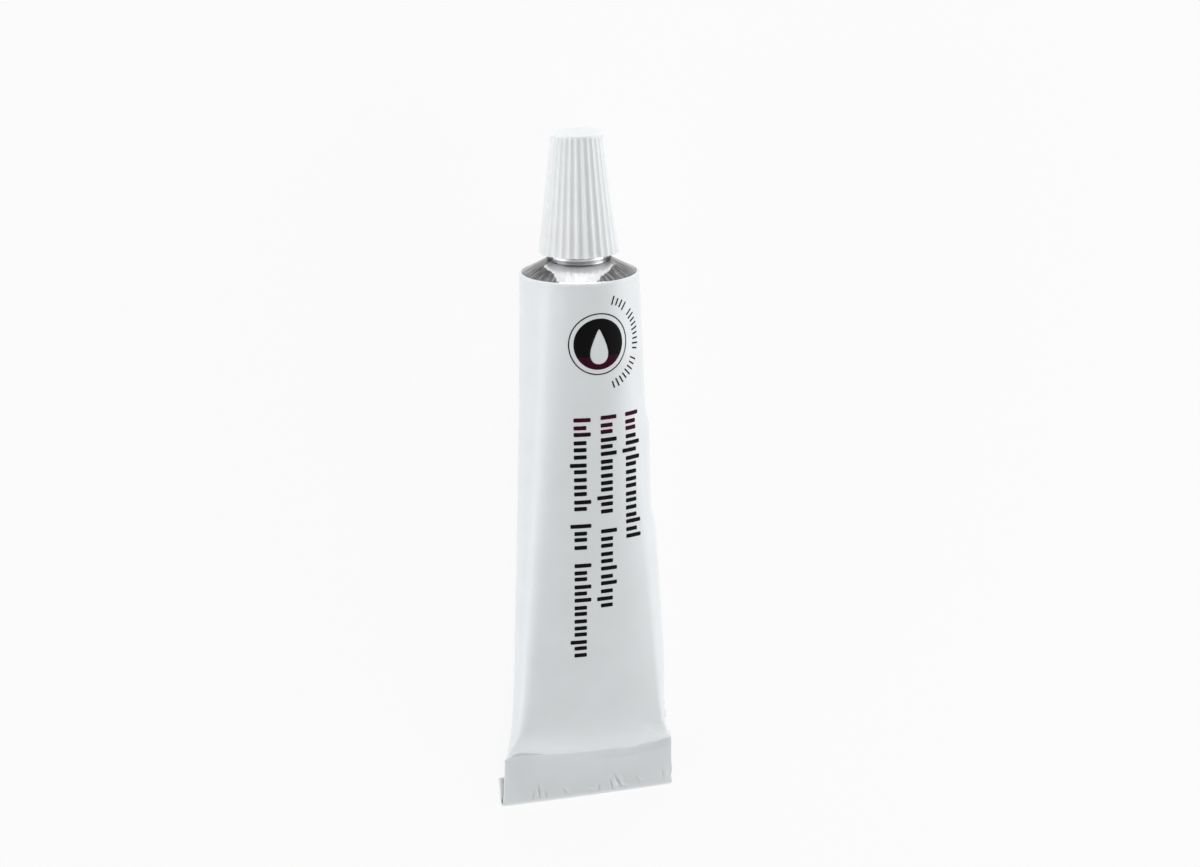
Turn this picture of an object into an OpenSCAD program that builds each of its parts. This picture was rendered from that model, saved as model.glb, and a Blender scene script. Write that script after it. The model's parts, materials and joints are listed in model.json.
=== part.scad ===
// Small collapsible metal tube of grease with a ribbed screw cap.
// It lies on its back as it comes to rest: the print side faces up, the cap points along +Y and
// the crimp runs along X. The tube's own axis rises towards the cap by the angle "tilt".

/* [Body] */
// Outer radius of the round end of the body
body_r = 6.75; // [5.5:0.25:9]
// Length of the body from the shoulder rim to the crease above the crimp
body_l = 59.5; // [45:0.5:80]
// Thickness of the body wall
wall = 0.12; // [0.1:0.01:0.16]
// Share of the thickness that is lost evenly along the body
taper = 0.43; // [0.35:0.01:0.5]
// Share of the thickness that the sag towards the crimp takes
sag = 0.27; // [0.15:0.01:0.32]
// Sharpness of the pinch above the crimp
pinch = 30; // [20:1:40]
// Crown of the flattened sides, from flat at 0 to pointed edges at 1
crown = 0.4; // [0.2:0.05:0.6]
// Depth of the dents along the right edge, as a multiple of the real ones
dent_depth = 1; // [0:0.1:1.5]

/* [Crimp] */
// Height of the flat crimp below the crease
crimp_h = 4.6; // [4.2:0.1:8]
// Height of the flap that is folded up behind the crimp
flap_h = 3.6; // [2.5:0.1:3.8]
// Gap between the crimp's front leaf and the flap
fold_gap = 0.3; // [0.1:0.05:0.6]
// Gap inside the flap, where its end is tucked in
tuck_gap = 0.05; // [0.04:0.01:0.1]
// Thickness that the seam adds to the two walls pressed together
seam = 0.04; // [0.02:0.01:0.08]

/* [Shoulder] */
// Height of the conical shoulder
shoulder_h = 1.75; // [1.2:0.05:2.6]
// Thickness of the shoulder
shoulder_t = 0.45; // [0.35:0.05:0.6]
// How far the rim stands out beyond the body
rim_out = 0.03; // [0.02:0.01:0.08]
// How far the rim stands in from the body's inner face
rim_in = 0.2; // [0.15:0.05:0.4]
// Height of the rim below the shoulder's edge
rim_h = 0.5; // [0.4:0.05:0.8]
// Size of the small bevel on the rim's edge
rim_bevel = 0.12; // [0.05:0.01:0.2]

/* [Neck and nozzle] */
// Outer radius of the screwed neck
neck_r = 3.5; // [3:0.05:3.6]
// Height of the neck above the shoulder
neck_h = 3.65; // [3:0.05:4]
// Thickness of the neck's wall
neck_t = 0.7; // [0.5:0.05:0.9]
// Size of the bevel at the top of the neck
neck_bevel = 0.25; // [0.1:0.05:0.4]
// Outer radius of the nozzle at its root
nozzle_r = 2.45; // [2:0.05:2.6]
// Outer radius of the nozzle at its tip
tip_r = 1.5; // [1.2:0.05:1.8]
// Length of the nozzle above the neck
nozzle_l = 8.6; // [6:0.1:9]
// Thickness of the nozzle's wall at its root
nozzle_t = 0.6; // [0.4:0.05:0.8]
// Radius of the hole in the nozzle's tip
hole_r = 0.6; // [0.4:0.05:0.8]
// Straight length of that hole
hole_l = 1.5; // [1:0.1:3]
// Size of the bevel on the nozzle's tip
tip_bevel = 0.2; // [0.1:0.05:0.3]

/* [Cap] */
// Height of the cap
cap_h = 13.5; // [12.5:0.1:18]
// Radius over the ribs at the cap's open end
cap_r = 4.55; // [4.4:0.05:5.5]
// Radius of the cap's smooth top
top_r = 2.9; // [2.7:0.05:3.6]
// Height of the smooth disc above the ribs
disc_h = 0.5; // [0.3:0.05:1]
// Size of the bevel around the top
top_bevel = 0.15; // [0.05:0.01:0.25]
// Depth of the flutes between the ribs at the cap's open end
flute_d = 0.22; // [0.1:0.01:0.3]
// Number of ribs
ribs = 30; // [20:1:34]
// Width of a rib's crest at the cap's open end
crest_w = 0.36; // [0.2:0.02:0.5]
// Height of the cap's open end above the foot of the neck
cap_stand = 0.68; // [0.3:0.02:1.2]
// Play between the neck and the cap's bore
neck_play = 0.05; // [0.02:0.01:0.1]
// Play between the nozzle and the cap's cavity
nozzle_play = 0.3; // [0.2:0.05:0.4]
// Play between the nozzle's hole and the cap's sealing stud
stud_play = 0.15; // [0.1:0.01:0.2]
// Length of the stud that closes the hole
stud_l = 1.2; // [0.6:0.1:2]

/* [Filling] */
// Length of the filling below the shoulder rim
fill_l = 54; // [30:1:56]
// Play between the filling and what holds it
fill_play = 0.05; // [0.03:0.01:0.1]

/* [Hidden] */

// Steps of the flattened sections and of the true circles
end_steps = 7;
side_steps = 5;
ring_count = 38;
fill_rings = 20;
ring_crowding = 1.5;
pinch_power = 0.8;
round_steps = 96;
flute_steps = 32;

// Dents along the right edge: place of the deepest point from the rim, depth, and the lengths
// over which the edge sinks in above it and springs out again below it
dents = [[15.8, 0.28, 13, 1.8], [27, 0.42, 9, 3], [50.5, 0.25, 14, 4]];

// Crimp: sheet of two walls, folded twice
leaf_t = 2 * wall + seam;
stack_t = 3 * leaf_t + tuck_gap + fold_gap;
leaf_v = stack_t - leaf_t / 2;
fold_r = stack_t / 2;
tuck_r = leaf_t + tuck_gap / 2;
crimp_w = PI * body_r;
fold_u = crimp_h - fold_r;
tuck_u = crimp_h - flap_h + tuck_r;
leaf_root = 0.12;
seal_l = 0.3;
stub_l = 0.5;

// Rest: the rim's lower edge and the flap's back lie on the floor
rim_r = body_r + rim_out;
rest_l = body_l - rim_h;
tilt = acos(leaf_v / norm([rim_r, rest_l])) - atan(rest_l / rim_r);

// Heights along the tube's axis, from the rim up
cone_rise = shoulder_h / (rim_r - neck_r);
cone_drop = shoulder_t * norm([1, cone_rise]);
neck_top = shoulder_h + neck_h;
tip_top = neck_top + nozzle_l;
neck_in = neck_r - neck_t;
rim_inner = body_r - wall - rim_in;
cap_foot = shoulder_h + cap_stand;
cap_top = cap_foot + cap_h;
bore_top = neck_top + nozzle_play;
cavity_top = tip_top + nozzle_play;
cap_slope = (cap_r - top_r) / cap_h;

// Flutes at the cap's open end: width, radius of the groove and distance of its centre
flute_w = 2 * PI * cap_r / ribs - crest_w;
flute_r = (flute_w * flute_w / 4 + flute_d * flute_d) / (2 * flute_d);
flute_x = cap_r - flute_d + flute_r;

// Place of the rim's centre, with the origin under the middle of the whole part
top_reach = max(
    cap_top * cos(tilt) + (top_r - top_bevel) * sin(tilt),
    (cap_top - top_bevel) * cos(tilt) + (top_r + top_bevel * cap_slope) * sin(tilt)
);
rim_y = (body_l * cos(tilt) + crimp_h - top_reach) / 2;
rim_z = rim_r * cos(tilt) + rim_h * sin(tilt);
crease_y = rim_y - body_l * cos(tilt);

// Half the thickness of the body at a distance s from the rim
function kept(t) = (1 - taper * t - sag * t * t) * pow(1 - pow(t, pinch), pinch_power);
function half(s) = s < body_l ? max(wall, body_r * kept(s / body_l)) : wall;

// Middle of the section: the back runs straight from the rim to the crease
function middle(s) = s < body_l
    ? body_r + (wall - body_r) * s / body_l - half(s)
    : (body_l - s) * tan(tilt);

// A section is an oval of four tangent arcs whose length stays that of the round tube.
// turn is the angle of each flat arc from its middle to its end.
function turn(s) = crown * 4 / PI * half(s) / body_r * 180 / PI;
function end_r(r, h, a) = let (rad = a * PI / 180, k = rad / (1 - cos(a)))
    (PI / 2 * r - k * h) / (PI / 2 - k);
function side_r(h, a, r1) = (h - r1 * cos(a)) / (1 - cos(a));

// Point of an oval's first quarter where its normal is at angle q
function oval(q, a, r1, r2) = q <= 90 - a
    ? [(r2 - r1) * sin(a) + r1 * cos(q), r1 * sin(q)]
    : [r2 * cos(q), r2 * sin(q) - (r2 - r1) * cos(a)];
function quarter(a) = concat(
    [for (i = [0:end_steps - 1]) i * (90 - a) / end_steps],
    [for (i = [0:side_steps - 1]) 90 - a + i * a / side_steps],
    [90]
);

// How far the dents push the right edge in at a distance s from the rim
function ease(t) = let (u = min(max(t, 0), 1)) u * u * (3 - 2 * u);
function dent(s) = dent_depth * max([for (d = dents)
    d[1] * (s < d[0] ? ease((s - d[0] + d[2]) / d[2]) : 1 - ease((s - d[0]) / d[3]))]);

// Closed ring of points at a distance s from the rim, a given skin below the outer face
function ring(s, skin) = let (
    a = turn(s),
    h = half(s) - skin,
    r1 = end_r(body_r - skin, h, a),
    r2 = side_r(h, a, r1),
    q = quarter(a),
    n = len(q) - 1,
    side = concat([for (i = [0:n - 1]) q[i]], [for (i = [0:n - 1]) 180 - q[n - i]])
) [for (half_turn = [0, 1]) for (angle = side)
    let (
        p = oval(angle > 90 ? 180 - angle : angle, a, r1, r2),
        flip = half_turn == 1 ? -1 : 1,
        x = flip * (angle > 90 ? -p[0] : p[0]),
        normal_x = flip * cos(angle)
    )
    [x - dent(s) * pow(max(normal_x, 0), 2), flip * p[1] + middle(s), -s]];

// Round ring of as many points, at a height z on the axis
function round_ring(r, z) = let (q = quarter(45), n = len(q) - 1) [
    for (k = [0:3]) for (i = [0:n - 1])
        let (angle = k * 90 + (k % 2 == 0 ? q[i] : 90 - q[n - i]))
        [r * cos(angle), r * sin(angle), z]
];

// Triangles between ring number a and ring number b, each of n points
function belt(a, b, n) = [for (i = [0:n - 1]) each let (j = (i + 1) % n)
    [[a * n + i, a * n + j, b * n + j], [a * n + i, b * n + j, b * n + i]]];
function flat_up(a, n) = [[for (i = [n - 1:-1:0]) a * n + i]];
function flat_down(a, n) = [[for (i = [0:n - 1]) a * n + i]];

// Distances of the rings from the rim, closer together towards the crimp
function stations(first, last, count) = [for (i = [0:count])
    first + (last - first) * (1 - pow(1 - i / count, ring_crowding))];

// From the tube's own frame, with its axis along Z and its back along +Y, to where it lies
module lying() {
    translate([0, rim_y, rim_z]) rotate([tilt - 90, 0, 0]) children();
}

// Thin wall of the body, round at the rim and pressed flat at the crease
module body_wall() {
    outer = concat(stations(rim_h / 2, body_l, ring_count), [body_l + stub_l]);
    inner = stations(rim_h / 2, body_l - seal_l, ring_count);
    rings = concat([for (s = outer) ring(s, 0)], [for (s = inner) ring(s, wall)]);
    n = len(rings[0]);
    m = len(outer);
    k = len(inner);
    polyhedron(
        points = [for (r = rings) each r],
        faces = concat(
            [for (i = [0:m - 2]) each belt(i, i + 1, n)],
            flat_down(m - 1, n),
            [for (i = [0:k - 2]) each belt(m + i + 1, m + i, n)],
            flat_up(m + k - 1, n),
            belt(m, 0, n)
        )
    );
}

// Rim, conical shoulder, neck and nozzle, turned about the axis
module shoulder_and_neck() {
    rotate_extrude($fn = round_steps) polygon([
        [rim_inner, -rim_h],
        [rim_r, -rim_h],
        [rim_r, -rim_bevel],
        [rim_r - rim_bevel, rim_bevel * cone_rise],
        [neck_r, shoulder_h],
        [neck_r, neck_top - neck_bevel],
        [neck_r - neck_bevel, neck_top],
        [nozzle_r, neck_top],
        [tip_r, tip_top - tip_bevel],
        [tip_r - tip_bevel, tip_top],
        [hole_r, tip_top],
        [hole_r, tip_top - hole_l],
        [nozzle_r - nozzle_t, neck_top],
        [neck_in, neck_top - neck_t],
        [neck_in, (rim_r - neck_in) * cone_rise - cone_drop],
        [rim_inner, (rim_r - rim_inner) * cone_rise - cone_drop]
    ]);
}

// Half of a round bend, drawn on the side that dir points to
module bend(r_out, r_in, dir) {
    difference() {
        circle(r = r_out, $fn = round_steps);
        circle(r = r_in, $fn = round_steps);
        translate([dir > 0 ? -2 * r_out : 0, -r_out]) square(2 * r_out);
    }
}

// Edge-on outline of the crimp: leaf, fold, flap, tuck and tucked end, from front to back
module crimp_outline() {
    translate([-leaf_root, leaf_v - leaf_t / 2]) square([fold_u + leaf_root, leaf_t]);
    translate([fold_u, fold_r]) bend(fold_r, fold_r - leaf_t, 1);
    translate([tuck_u, 0]) square([fold_u - tuck_u, leaf_t]);
    translate([tuck_u, tuck_r]) bend(tuck_r, tuck_gap / 2, -1);
    translate([tuck_u, leaf_t + tuck_gap]) square([fold_u - tuck_u - tuck_r, leaf_t]);
}

module tube() {
    color([0.83, 0.84, 0.86]) union() {
        lying() body_wall();
        lying() shoulder_and_neck();
        translate([0, crease_y, 0]) rotate([90, 0, -90])
            linear_extrude(height = crimp_w, center = true) crimp_outline();
    }
}

// One flute: a round groove that narrows towards the top with the cap itself
module flute() {
    over = flute_d;
    low = (cap_r + over * cap_slope) / cap_r;
    high = (top_r + disc_h * cap_slope) / cap_r;
    lean = atan(flute_x * cap_slope / cap_r);
    translate([flute_x * low, 0, cap_foot - over]) rotate([0, -lean, 0])
        cylinder(
            h = (cap_h - disc_h + over) / cos(lean),
            r1 = flute_r * low,
            r2 = flute_r * high,
            $fn = flute_steps
        );
}

module cap_outside() {
    difference() {
        rotate_extrude($fn = round_steps) polygon([
            [0, cap_foot],
            [cap_r, cap_foot],
            [top_r + top_bevel * cap_slope, cap_top - top_bevel],
            [top_r - top_bevel, cap_top],
            [0, cap_top]
        ]);
        for (i = [0:ribs - 1]) rotate([0, 0, (i + 0.5) * 360 / ribs]) flute();
    }
}

// Bore for the neck, cavity for the nozzle and the stud left standing in it
module cap_inside() {
    rotate_extrude($fn = round_steps) polygon([
        [0, cap_foot - cap_stand],
        [neck_r + neck_play, cap_foot - cap_stand],
        [neck_r + neck_play, bore_top],
        [nozzle_r + nozzle_play, bore_top],
        [tip_r + nozzle_play, cavity_top],
        [hole_r - stud_play, cavity_top],
        [hole_r - stud_play, tip_top - stud_l],
        [0, tip_top - stud_l]
    ]);
}

module cap() {
    color("white") lying() difference() {
        cap_outside();
        cap_inside();
    }
}

// The grease fills the neck, the shoulder and most of the body
module grease() {
    skin = wall + fill_play;
    first = rim_h + fill_play;
    drop = cone_drop + fill_play * norm([1, cone_rise]);
    column_r = neck_in - fill_play;
    shoulder_r = rim_inner - fill_play;
    rings = concat(
        [
            round_ring(column_r, neck_top - neck_t - fill_play),
            round_ring(column_r, (rim_r - column_r) * cone_rise - drop),
            round_ring(shoulder_r, (rim_r - shoulder_r) * cone_rise - drop),
            round_ring(shoulder_r, -first)
        ],
        [for (s = stations(first + rim_in, fill_l, fill_rings)) ring(s, skin)]
    );
    n = len(rings[0]);
    m = len(rings);
    color([0.93, 0.94, 0.93]) lying() polyhedron(
        points = [for (r = rings) each r],
        faces = concat(
            flat_up(0, n),
            [for (i = [0:m - 2]) each belt(i, i + 1, n)],
            flat_down(m - 1, n)
        )
    );
}

tube();
cap();
grease();
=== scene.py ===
"""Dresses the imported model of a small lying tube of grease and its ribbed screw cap."""

import json
import math

import bmesh
import bpy
from bpy.props import FloatProperty, FloatVectorProperty, IntProperty, PointerProperty
from mathutils import Matrix, Vector, noise


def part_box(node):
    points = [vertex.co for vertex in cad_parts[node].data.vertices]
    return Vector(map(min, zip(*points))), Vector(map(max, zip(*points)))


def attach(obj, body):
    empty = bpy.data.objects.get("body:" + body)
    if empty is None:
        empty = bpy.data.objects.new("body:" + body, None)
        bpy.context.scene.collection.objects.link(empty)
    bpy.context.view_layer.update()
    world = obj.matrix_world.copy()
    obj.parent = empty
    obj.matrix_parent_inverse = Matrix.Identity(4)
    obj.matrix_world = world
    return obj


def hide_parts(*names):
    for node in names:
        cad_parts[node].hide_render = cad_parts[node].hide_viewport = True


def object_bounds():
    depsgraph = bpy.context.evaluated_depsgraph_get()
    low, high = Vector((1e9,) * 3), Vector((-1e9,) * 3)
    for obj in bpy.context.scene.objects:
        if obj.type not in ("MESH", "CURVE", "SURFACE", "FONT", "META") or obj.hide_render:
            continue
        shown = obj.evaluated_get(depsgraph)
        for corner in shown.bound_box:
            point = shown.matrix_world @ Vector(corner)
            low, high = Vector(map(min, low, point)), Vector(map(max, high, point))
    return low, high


bl_info = {
    "name": "Grease tube",
    "version": (1, 0, 0),
    "blender": (4, 5, 0),
    "location": "3D View > Sidebar > Tube",
    "description": "Enamelled tube, bare shoulder, ribbed cap and print around the packed model",
    "category": "Object",
}

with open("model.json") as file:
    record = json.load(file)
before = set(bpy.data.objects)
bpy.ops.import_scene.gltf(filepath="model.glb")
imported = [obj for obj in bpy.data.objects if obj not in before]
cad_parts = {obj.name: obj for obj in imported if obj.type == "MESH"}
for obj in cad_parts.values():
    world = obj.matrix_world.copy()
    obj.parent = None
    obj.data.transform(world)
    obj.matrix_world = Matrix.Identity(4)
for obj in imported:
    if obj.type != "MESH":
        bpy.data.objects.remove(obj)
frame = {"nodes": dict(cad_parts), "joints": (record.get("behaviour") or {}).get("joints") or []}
cad_low, cad_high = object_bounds()
tube_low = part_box("tube")[0]
lift_axis = Vector(frame["joints"][0]["axis"]).normalized()
TILT = math.atan2(lift_axis.z, lift_axis.y)

# Soft dents along the right edge: place from the rim, depth, length above and length below
EDGE_DENTS = (
    (0.0158, 0.00028, 0.013, 0.0018),
    (0.0270, 0.00042, 0.009, 0.003),
    (0.0560, 0.00055, 0.012, 0.003),
)

# Bends of the crease: place across and how far it droops
CREASE_BENDS = (
    (-0.0108, -0.0012),
    (-0.0088, -0.0019),
    (-0.0045, -0.0013),
    (-0.0015, -0.0011),
    (0.0022, -0.0010),
    (0.0050, -0.0009),
    (0.0080, -0.0012),
    (0.0106, -0.0015),
)

# Marks that the pliers left on the crimp: place across, place down, slant, half length, depth
PINCH_MARKS = (
    (-0.0068, 0.0034, -0.15, 0.00060, 0.00009),
    (-0.0061, 0.0032, 0.10, 0.00090, 0.00013),
    (-0.0053, 0.0037, 0.35, 0.00045, 0.00008),
    (-0.0030, 0.0034, 0.55, 0.00050, 0.00014),
    (0.0003, 0.0038, 0.90, 0.00030, 0.00009),
    (0.0013, 0.0036, 0.05, 0.00045, 0.00011),
    (0.0029, 0.0034, 0.25, 0.00055, 0.00019),
    (0.0037, 0.0031, 0.45, 0.00090, 0.00020),
    (0.0045, 0.0038, 0.90, 0.00035, 0.00010),
    (0.0062, 0.0032, 0.60, 0.00045, 0.00013),
    (0.0094, 0.0029, 0.10, 0.00055, 0.00013),
)

# The body's left edge draws in by this share where it runs into the crimp, from this place on
LEFT_PULL = 0.0387
PULL_FROM = 0.0572
PULL_OVER = 0.0022

# Where the body starts to follow the bent crease, and how far below it the leaf is straight
DROOP_FROM = 0.050
DROOP_OVER = 0.0095
LEAF_STRAIGHT = 0.0026


def metres(name, description, default):
    """A length that a user may change."""
    return FloatProperty(
        name=name, description=description, default=default, unit="LENGTH", precision=5)


def paint(name, description, default):
    """A colour that a user may change."""
    return FloatVectorProperty(
        name=name, description=description, default=default, subtype="COLOR")


class TubeSizes(bpy.types.PropertyGroup):
    """Sizes and colours of the enamelled tube."""

    body_radius: metres("Body radius", "Outer radius of the round end", 0.00675)
    body_length: metres("Body length", "From the shoulder rim to the crease", 0.0595)
    wall: metres("Wall", "Thickness of the body wall", 0.00012)
    taper: FloatProperty(
        name="Taper", description="Share of the thickness lost evenly", default=0.43)
    sag: FloatProperty(
        name="Sag", description="Share of the thickness the sag takes", default=0.27)
    pinch: FloatProperty(
        name="Pinch", description="Sharpness of the pinch above the crimp", default=30)
    pinch_power: FloatProperty(
        name="Pinch power", description="Shape of the pinch", default=0.8)
    crown: FloatProperty(
        name="Crown", description="Crown of the flattened sides", default=0.4)
    rim_out: metres("Rim", "How far the rim stands out", 0.00003)
    rim_height: metres("Rim height", "Height of the rolled rim", 0.0005)
    crimp_height: metres("Crimp height", "From the crease to the folded edge", 0.0046)
    flap_height: metres("Flap height", "Height of the flap behind the crimp", 0.0036)
    fold_gap: metres("Fold gap", "Gap between the leaf and the flap", 0.00005)
    tuck_gap: metres("Tuck gap", "Gap inside the flap", 0.00003)
    seam: metres("Seam", "What the seam adds to two pressed walls", 0.00013)
    shoulder_height: metres("Shoulder height", "Height of the conical shoulder", 0.00175)
    shoulder_wall: metres("Shoulder wall", "Thickness of the shoulder", 0.00045)
    neck_radius: metres("Neck radius", "Outer radius of the thread", 0.0035)
    neck_height: metres("Neck height", "Height of the neck", 0.00365)
    neck_wall: metres("Neck wall", "Thickness of the neck", 0.0007)
    thread_pitch: metres("Thread pitch", "Rise of the thread in one turn", 0.00125)
    thread_depth: metres("Thread depth", "Depth of the thread", 0.0003)
    nozzle_radius: metres("Nozzle radius", "Radius at the nozzle's root", 0.00245)
    tip_radius: metres("Tip radius", "Radius at the nozzle's tip", 0.0015)
    nozzle_length: metres("Nozzle length", "Length above the neck", 0.0086)
    nozzle_wall: metres("Nozzle wall", "Thickness at the nozzle's root", 0.0006)
    hole_radius: metres("Hole radius", "Radius of the hole in the tip", 0.0006)
    enamel_colour: paint("Enamel", "Colour of the enamel", (0.795, 0.82, 0.835))
    metal_colour: paint("Bare metal", "Colour of the bare aluminium", (0.86, 0.86, 0.87))
    ink_colour: paint("Ink", "Colour of the print", (0.003, 0.003, 0.003))
    tint_colour: paint("Ink tint", "Colour of the print's reddish parts", (0.045, 0.003, 0.016))


class CapSizes(bpy.types.PropertyGroup):
    """Sizes and colour of the screw cap."""

    height: metres("Height", "Height of the cap", 0.0135)
    foot_radius: metres("Foot radius", "Radius over the ribs at the open end", 0.00455)
    top_radius: metres("Top radius", "Radius of the smooth top", 0.0029)
    disc_height: metres("Disc height", "Height of the smooth disc above the ribs", 0.00018)
    edge_round: metres("Top edge", "Rounding of the top edge", 0.00012)
    ribs: IntProperty(name="Ribs", description="Number of ribs", default=30)
    flute_depth: metres("Flute depth", "Depth of the flutes at the open end", 0.00017)
    crest_width: metres("Crest width", "Width of a rib's crest at the open end", 0.00018)
    stand: metres("Stand", "Height of the open end above the neck's foot", 0.00068)
    neck_play: metres("Neck play", "Play around the neck", 0.00005)
    nozzle_play: metres("Nozzle play", "Play around the nozzle", 0.0003)
    stud_radius: metres("Stud radius", "Radius of the sealing stud", 0.00045)
    stud_length: metres("Stud length", "How far the stud enters the nozzle", 0.0012)
    colour: paint("Plastic", "Colour of the cap", (0.83, 0.85, 0.86))


class StudioSizes(bpy.types.PropertyGroup):
    """Camera, lamps and floor."""

    camera_distance: metres("Camera distance", "From the camera to its target", 0.287314)
    camera_azimuth: FloatProperty(
        name="Camera azimuth", description="Turn about the tube's axis",
        default=math.radians(-16.348), subtype="ANGLE")
    camera_elevation: FloatProperty(
        name="Camera elevation", description="Angle towards the cap",
        default=math.radians(16.254), subtype="ANGLE")
    camera_roll: FloatProperty(
        name="Camera roll", description="Roll of the camera",
        default=math.radians(-0.802), subtype="ANGLE")
    target_across: metres("Target across", "Target to the right of the axis", 0.002089)
    target_along: metres("Target along", "Target above the rim", -0.018979)
    lens: FloatProperty(name="Lens", description="Focal length in mm", default=75.056)
    side_light: FloatProperty(
        name="Side lamps", description="Power of the lamps beside and above", default=1.0)
    end_light: FloatProperty(
        name="End lamps", description="Power of the lamps at the two ends", default=1.0)
    sky: FloatProperty(
        name="Sky", description="Brightness of the plain surroundings", default=0.27)
    floor_colour: paint("Floor", "Colour of the floor", (0.86, 0.86, 0.86))


def place_of_tube(sizes):
    """From the tube's own frame, axis up along Z and back along +Y, to where it lies."""
    rim_radius = sizes.body_radius + sizes.rim_out
    crease_y = tube_low.y + sizes.crimp_height
    rim_y = crease_y + sizes.body_length * math.cos(TILT)
    rim_z = rim_radius * math.cos(TILT) + sizes.rim_height * math.sin(TILT)
    turn = Matrix.Rotation(TILT - math.pi / 2, 4, "X")
    return Matrix.Translation((0, rim_y, rim_z)) @ turn


def ease(share):
    """A smooth step from 0 to 1."""
    share = min(max(share, 0), 1)
    return share * share * (3 - 2 * share)


def bump(distance, width):
    """A soft hump, 1 at no distance and about 0 past twice its width."""
    return math.exp(-((distance / width) ** 2))


def half_thickness(sizes, s):
    """Half the thickness of the body at the distance s from the rim."""
    if s >= sizes.body_length:
        return sizes.wall
    t = max(s, 0) / sizes.body_length
    kept = (1 - sizes.taper * t - sizes.sag * t * t) * (1 - t**sizes.pinch) ** sizes.pinch_power
    return max(sizes.wall, sizes.body_radius * kept)


def section_middle(sizes, s):
    """Middle of the section: the back runs straight from the rim to the crease."""
    share = min(s / sizes.body_length, 1)
    back = sizes.body_radius + (sizes.wall - sizes.body_radius) * share
    return back - half_thickness(sizes, s)


def section_arcs(sizes, half, skin=0.0):
    """Angle of the flat arcs and the radii of the end arcs and the flat arcs."""
    flat = sizes.crown * 4 / math.pi * half / sizes.body_radius
    rise = flat / (1 - math.cos(flat))
    quarter = math.pi / 2
    end = (quarter * (sizes.body_radius - skin) - rise * (half - skin)) / (quarter - rise)
    side = (half - skin - end * math.cos(flat)) / (1 - math.cos(flat))
    return flat, end, side


def oval_point(q, flat, end, side):
    """Point of the section's first quarter where its normal is at the angle q."""
    if q <= math.pi / 2 - flat:
        return (side - end) * math.sin(flat) + end * math.cos(q), end * math.sin(q)
    return side * math.cos(q), side * math.sin(q) - (side - end) * math.cos(flat)


def edge_dent(s):
    """How far the dents push the right edge in at the distance s from the rim."""
    depths = [
        depth * (ease((s - at + above) / above) if s < at else 1 - ease((s - at) / below))
        for at, depth, above, below in EDGE_DENTS
    ]
    return max(depths)


def label_point(sizes, across, along, lift):
    """Point on the printed front, measured round the tube and down from the rim."""
    flat, end, side = section_arcs(sizes, half_thickness(sizes, along))
    reach = abs(across)
    if reach <= side * flat:
        q = math.pi / 2 - reach / side
    else:
        q = math.pi / 2 - flat - (reach - side * flat) / end
    x, y = oval_point(q, flat, end, side)
    x += lift * math.cos(q)
    y += lift * math.sin(q)
    if across < 0:
        return Vector((-x, section_middle(sizes, along) - y, -along))
    x -= edge_dent(along) * math.cos(q) ** 2
    return Vector((x, section_middle(sizes, along) - y, -along))


END_STEPS = 10
SIDE_STEPS = 72
AROUND = 4 * (END_STEPS + SIDE_STEPS)


def column_angle(column, flat):
    """First-quarter angle of a column, and the signs of its X and Y."""
    steps = END_STEPS + SIDE_STEPS
    quarter, j = divmod(column % AROUND, steps)
    if quarter % 2:
        j = steps - j
    if j <= END_STEPS:
        q = j * (math.pi / 2 - flat) / END_STEPS
    else:
        q = math.pi / 2 - flat + (j - END_STEPS) * flat / SIDE_STEPS
    return q, (1, -1, -1, 1)[quarter], (1, 1, -1, -1)[quarter]


def stations(first, last, count, crowding=1.5):
    """Distances from the rim, closer together towards the last."""
    return [
        first + (last - first) * (1 - (1 - i / count) ** crowding)
        for i in range(count + 1)
    ]


def crease_droop(x):
    """How far the crease droops at x."""
    for (x0, d0), (x1, d1) in zip(CREASE_BENDS, CREASE_BENDS[1:]):
        if x <= x1:
            return d0 + (d1 - d0) * ease((x - x0) / (x1 - x0))
    return CREASE_BENDS[-1][1]


def body_row(sizes, place, s, skin):
    """Row of points round the body."""
    half = half_thickness(sizes, s)
    middle = section_middle(sizes, s)
    flat, end, side = section_arcs(sizes, half, skin)
    droop_share = ease((s - DROOP_FROM) / DROOP_OVER)
    points = []
    for column in range(AROUND + 1):
        q, sign_x, sign_y = column_angle(column, flat)
        x, y = oval_point(q, flat, end, side)
        x = sign_x * x
        droop = crease_droop(x) * droop_share
        if sign_x > 0:
            x -= edge_dent(s) * math.cos(q) ** 2
        else:
            x *= 1 - LEFT_PULL * ease((s - PULL_FROM) / PULL_OVER)
        point = Vector((x, sign_y * y + middle, -s - droop))
        if sign_y < 0 and skin == 0:
            point.y += front_dent(x, s)
        points.append(place @ point)
    return points


def front_dent(x, s):
    """Small folds in the printed front just above the crease."""
    right = ease((s - 0.0535) / 0.003) * (1 - ease((s - 0.0588) / 0.0007))
    along_fold = (x - 0.0076) * 0.62 - (s - 0.0562) * 0.78
    fold = 0.00022 * bump(along_fold, 0.0005) - 0.00018 * bump(along_fold - 0.0011, 0.0007)
    return right * fold * ease((x - 0.0055) / 0.002) + valley(x) * ease((s - 0.0587) / 0.0007)


def valley(x):
    """Depth of the valley along the crease, where the front meets the crimp."""
    ends = ease((0.0104 - abs(x)) / 0.0015)
    return ends * (0.00004 + 0.00017 * ease((x + 0.001) / 0.004))


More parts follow.
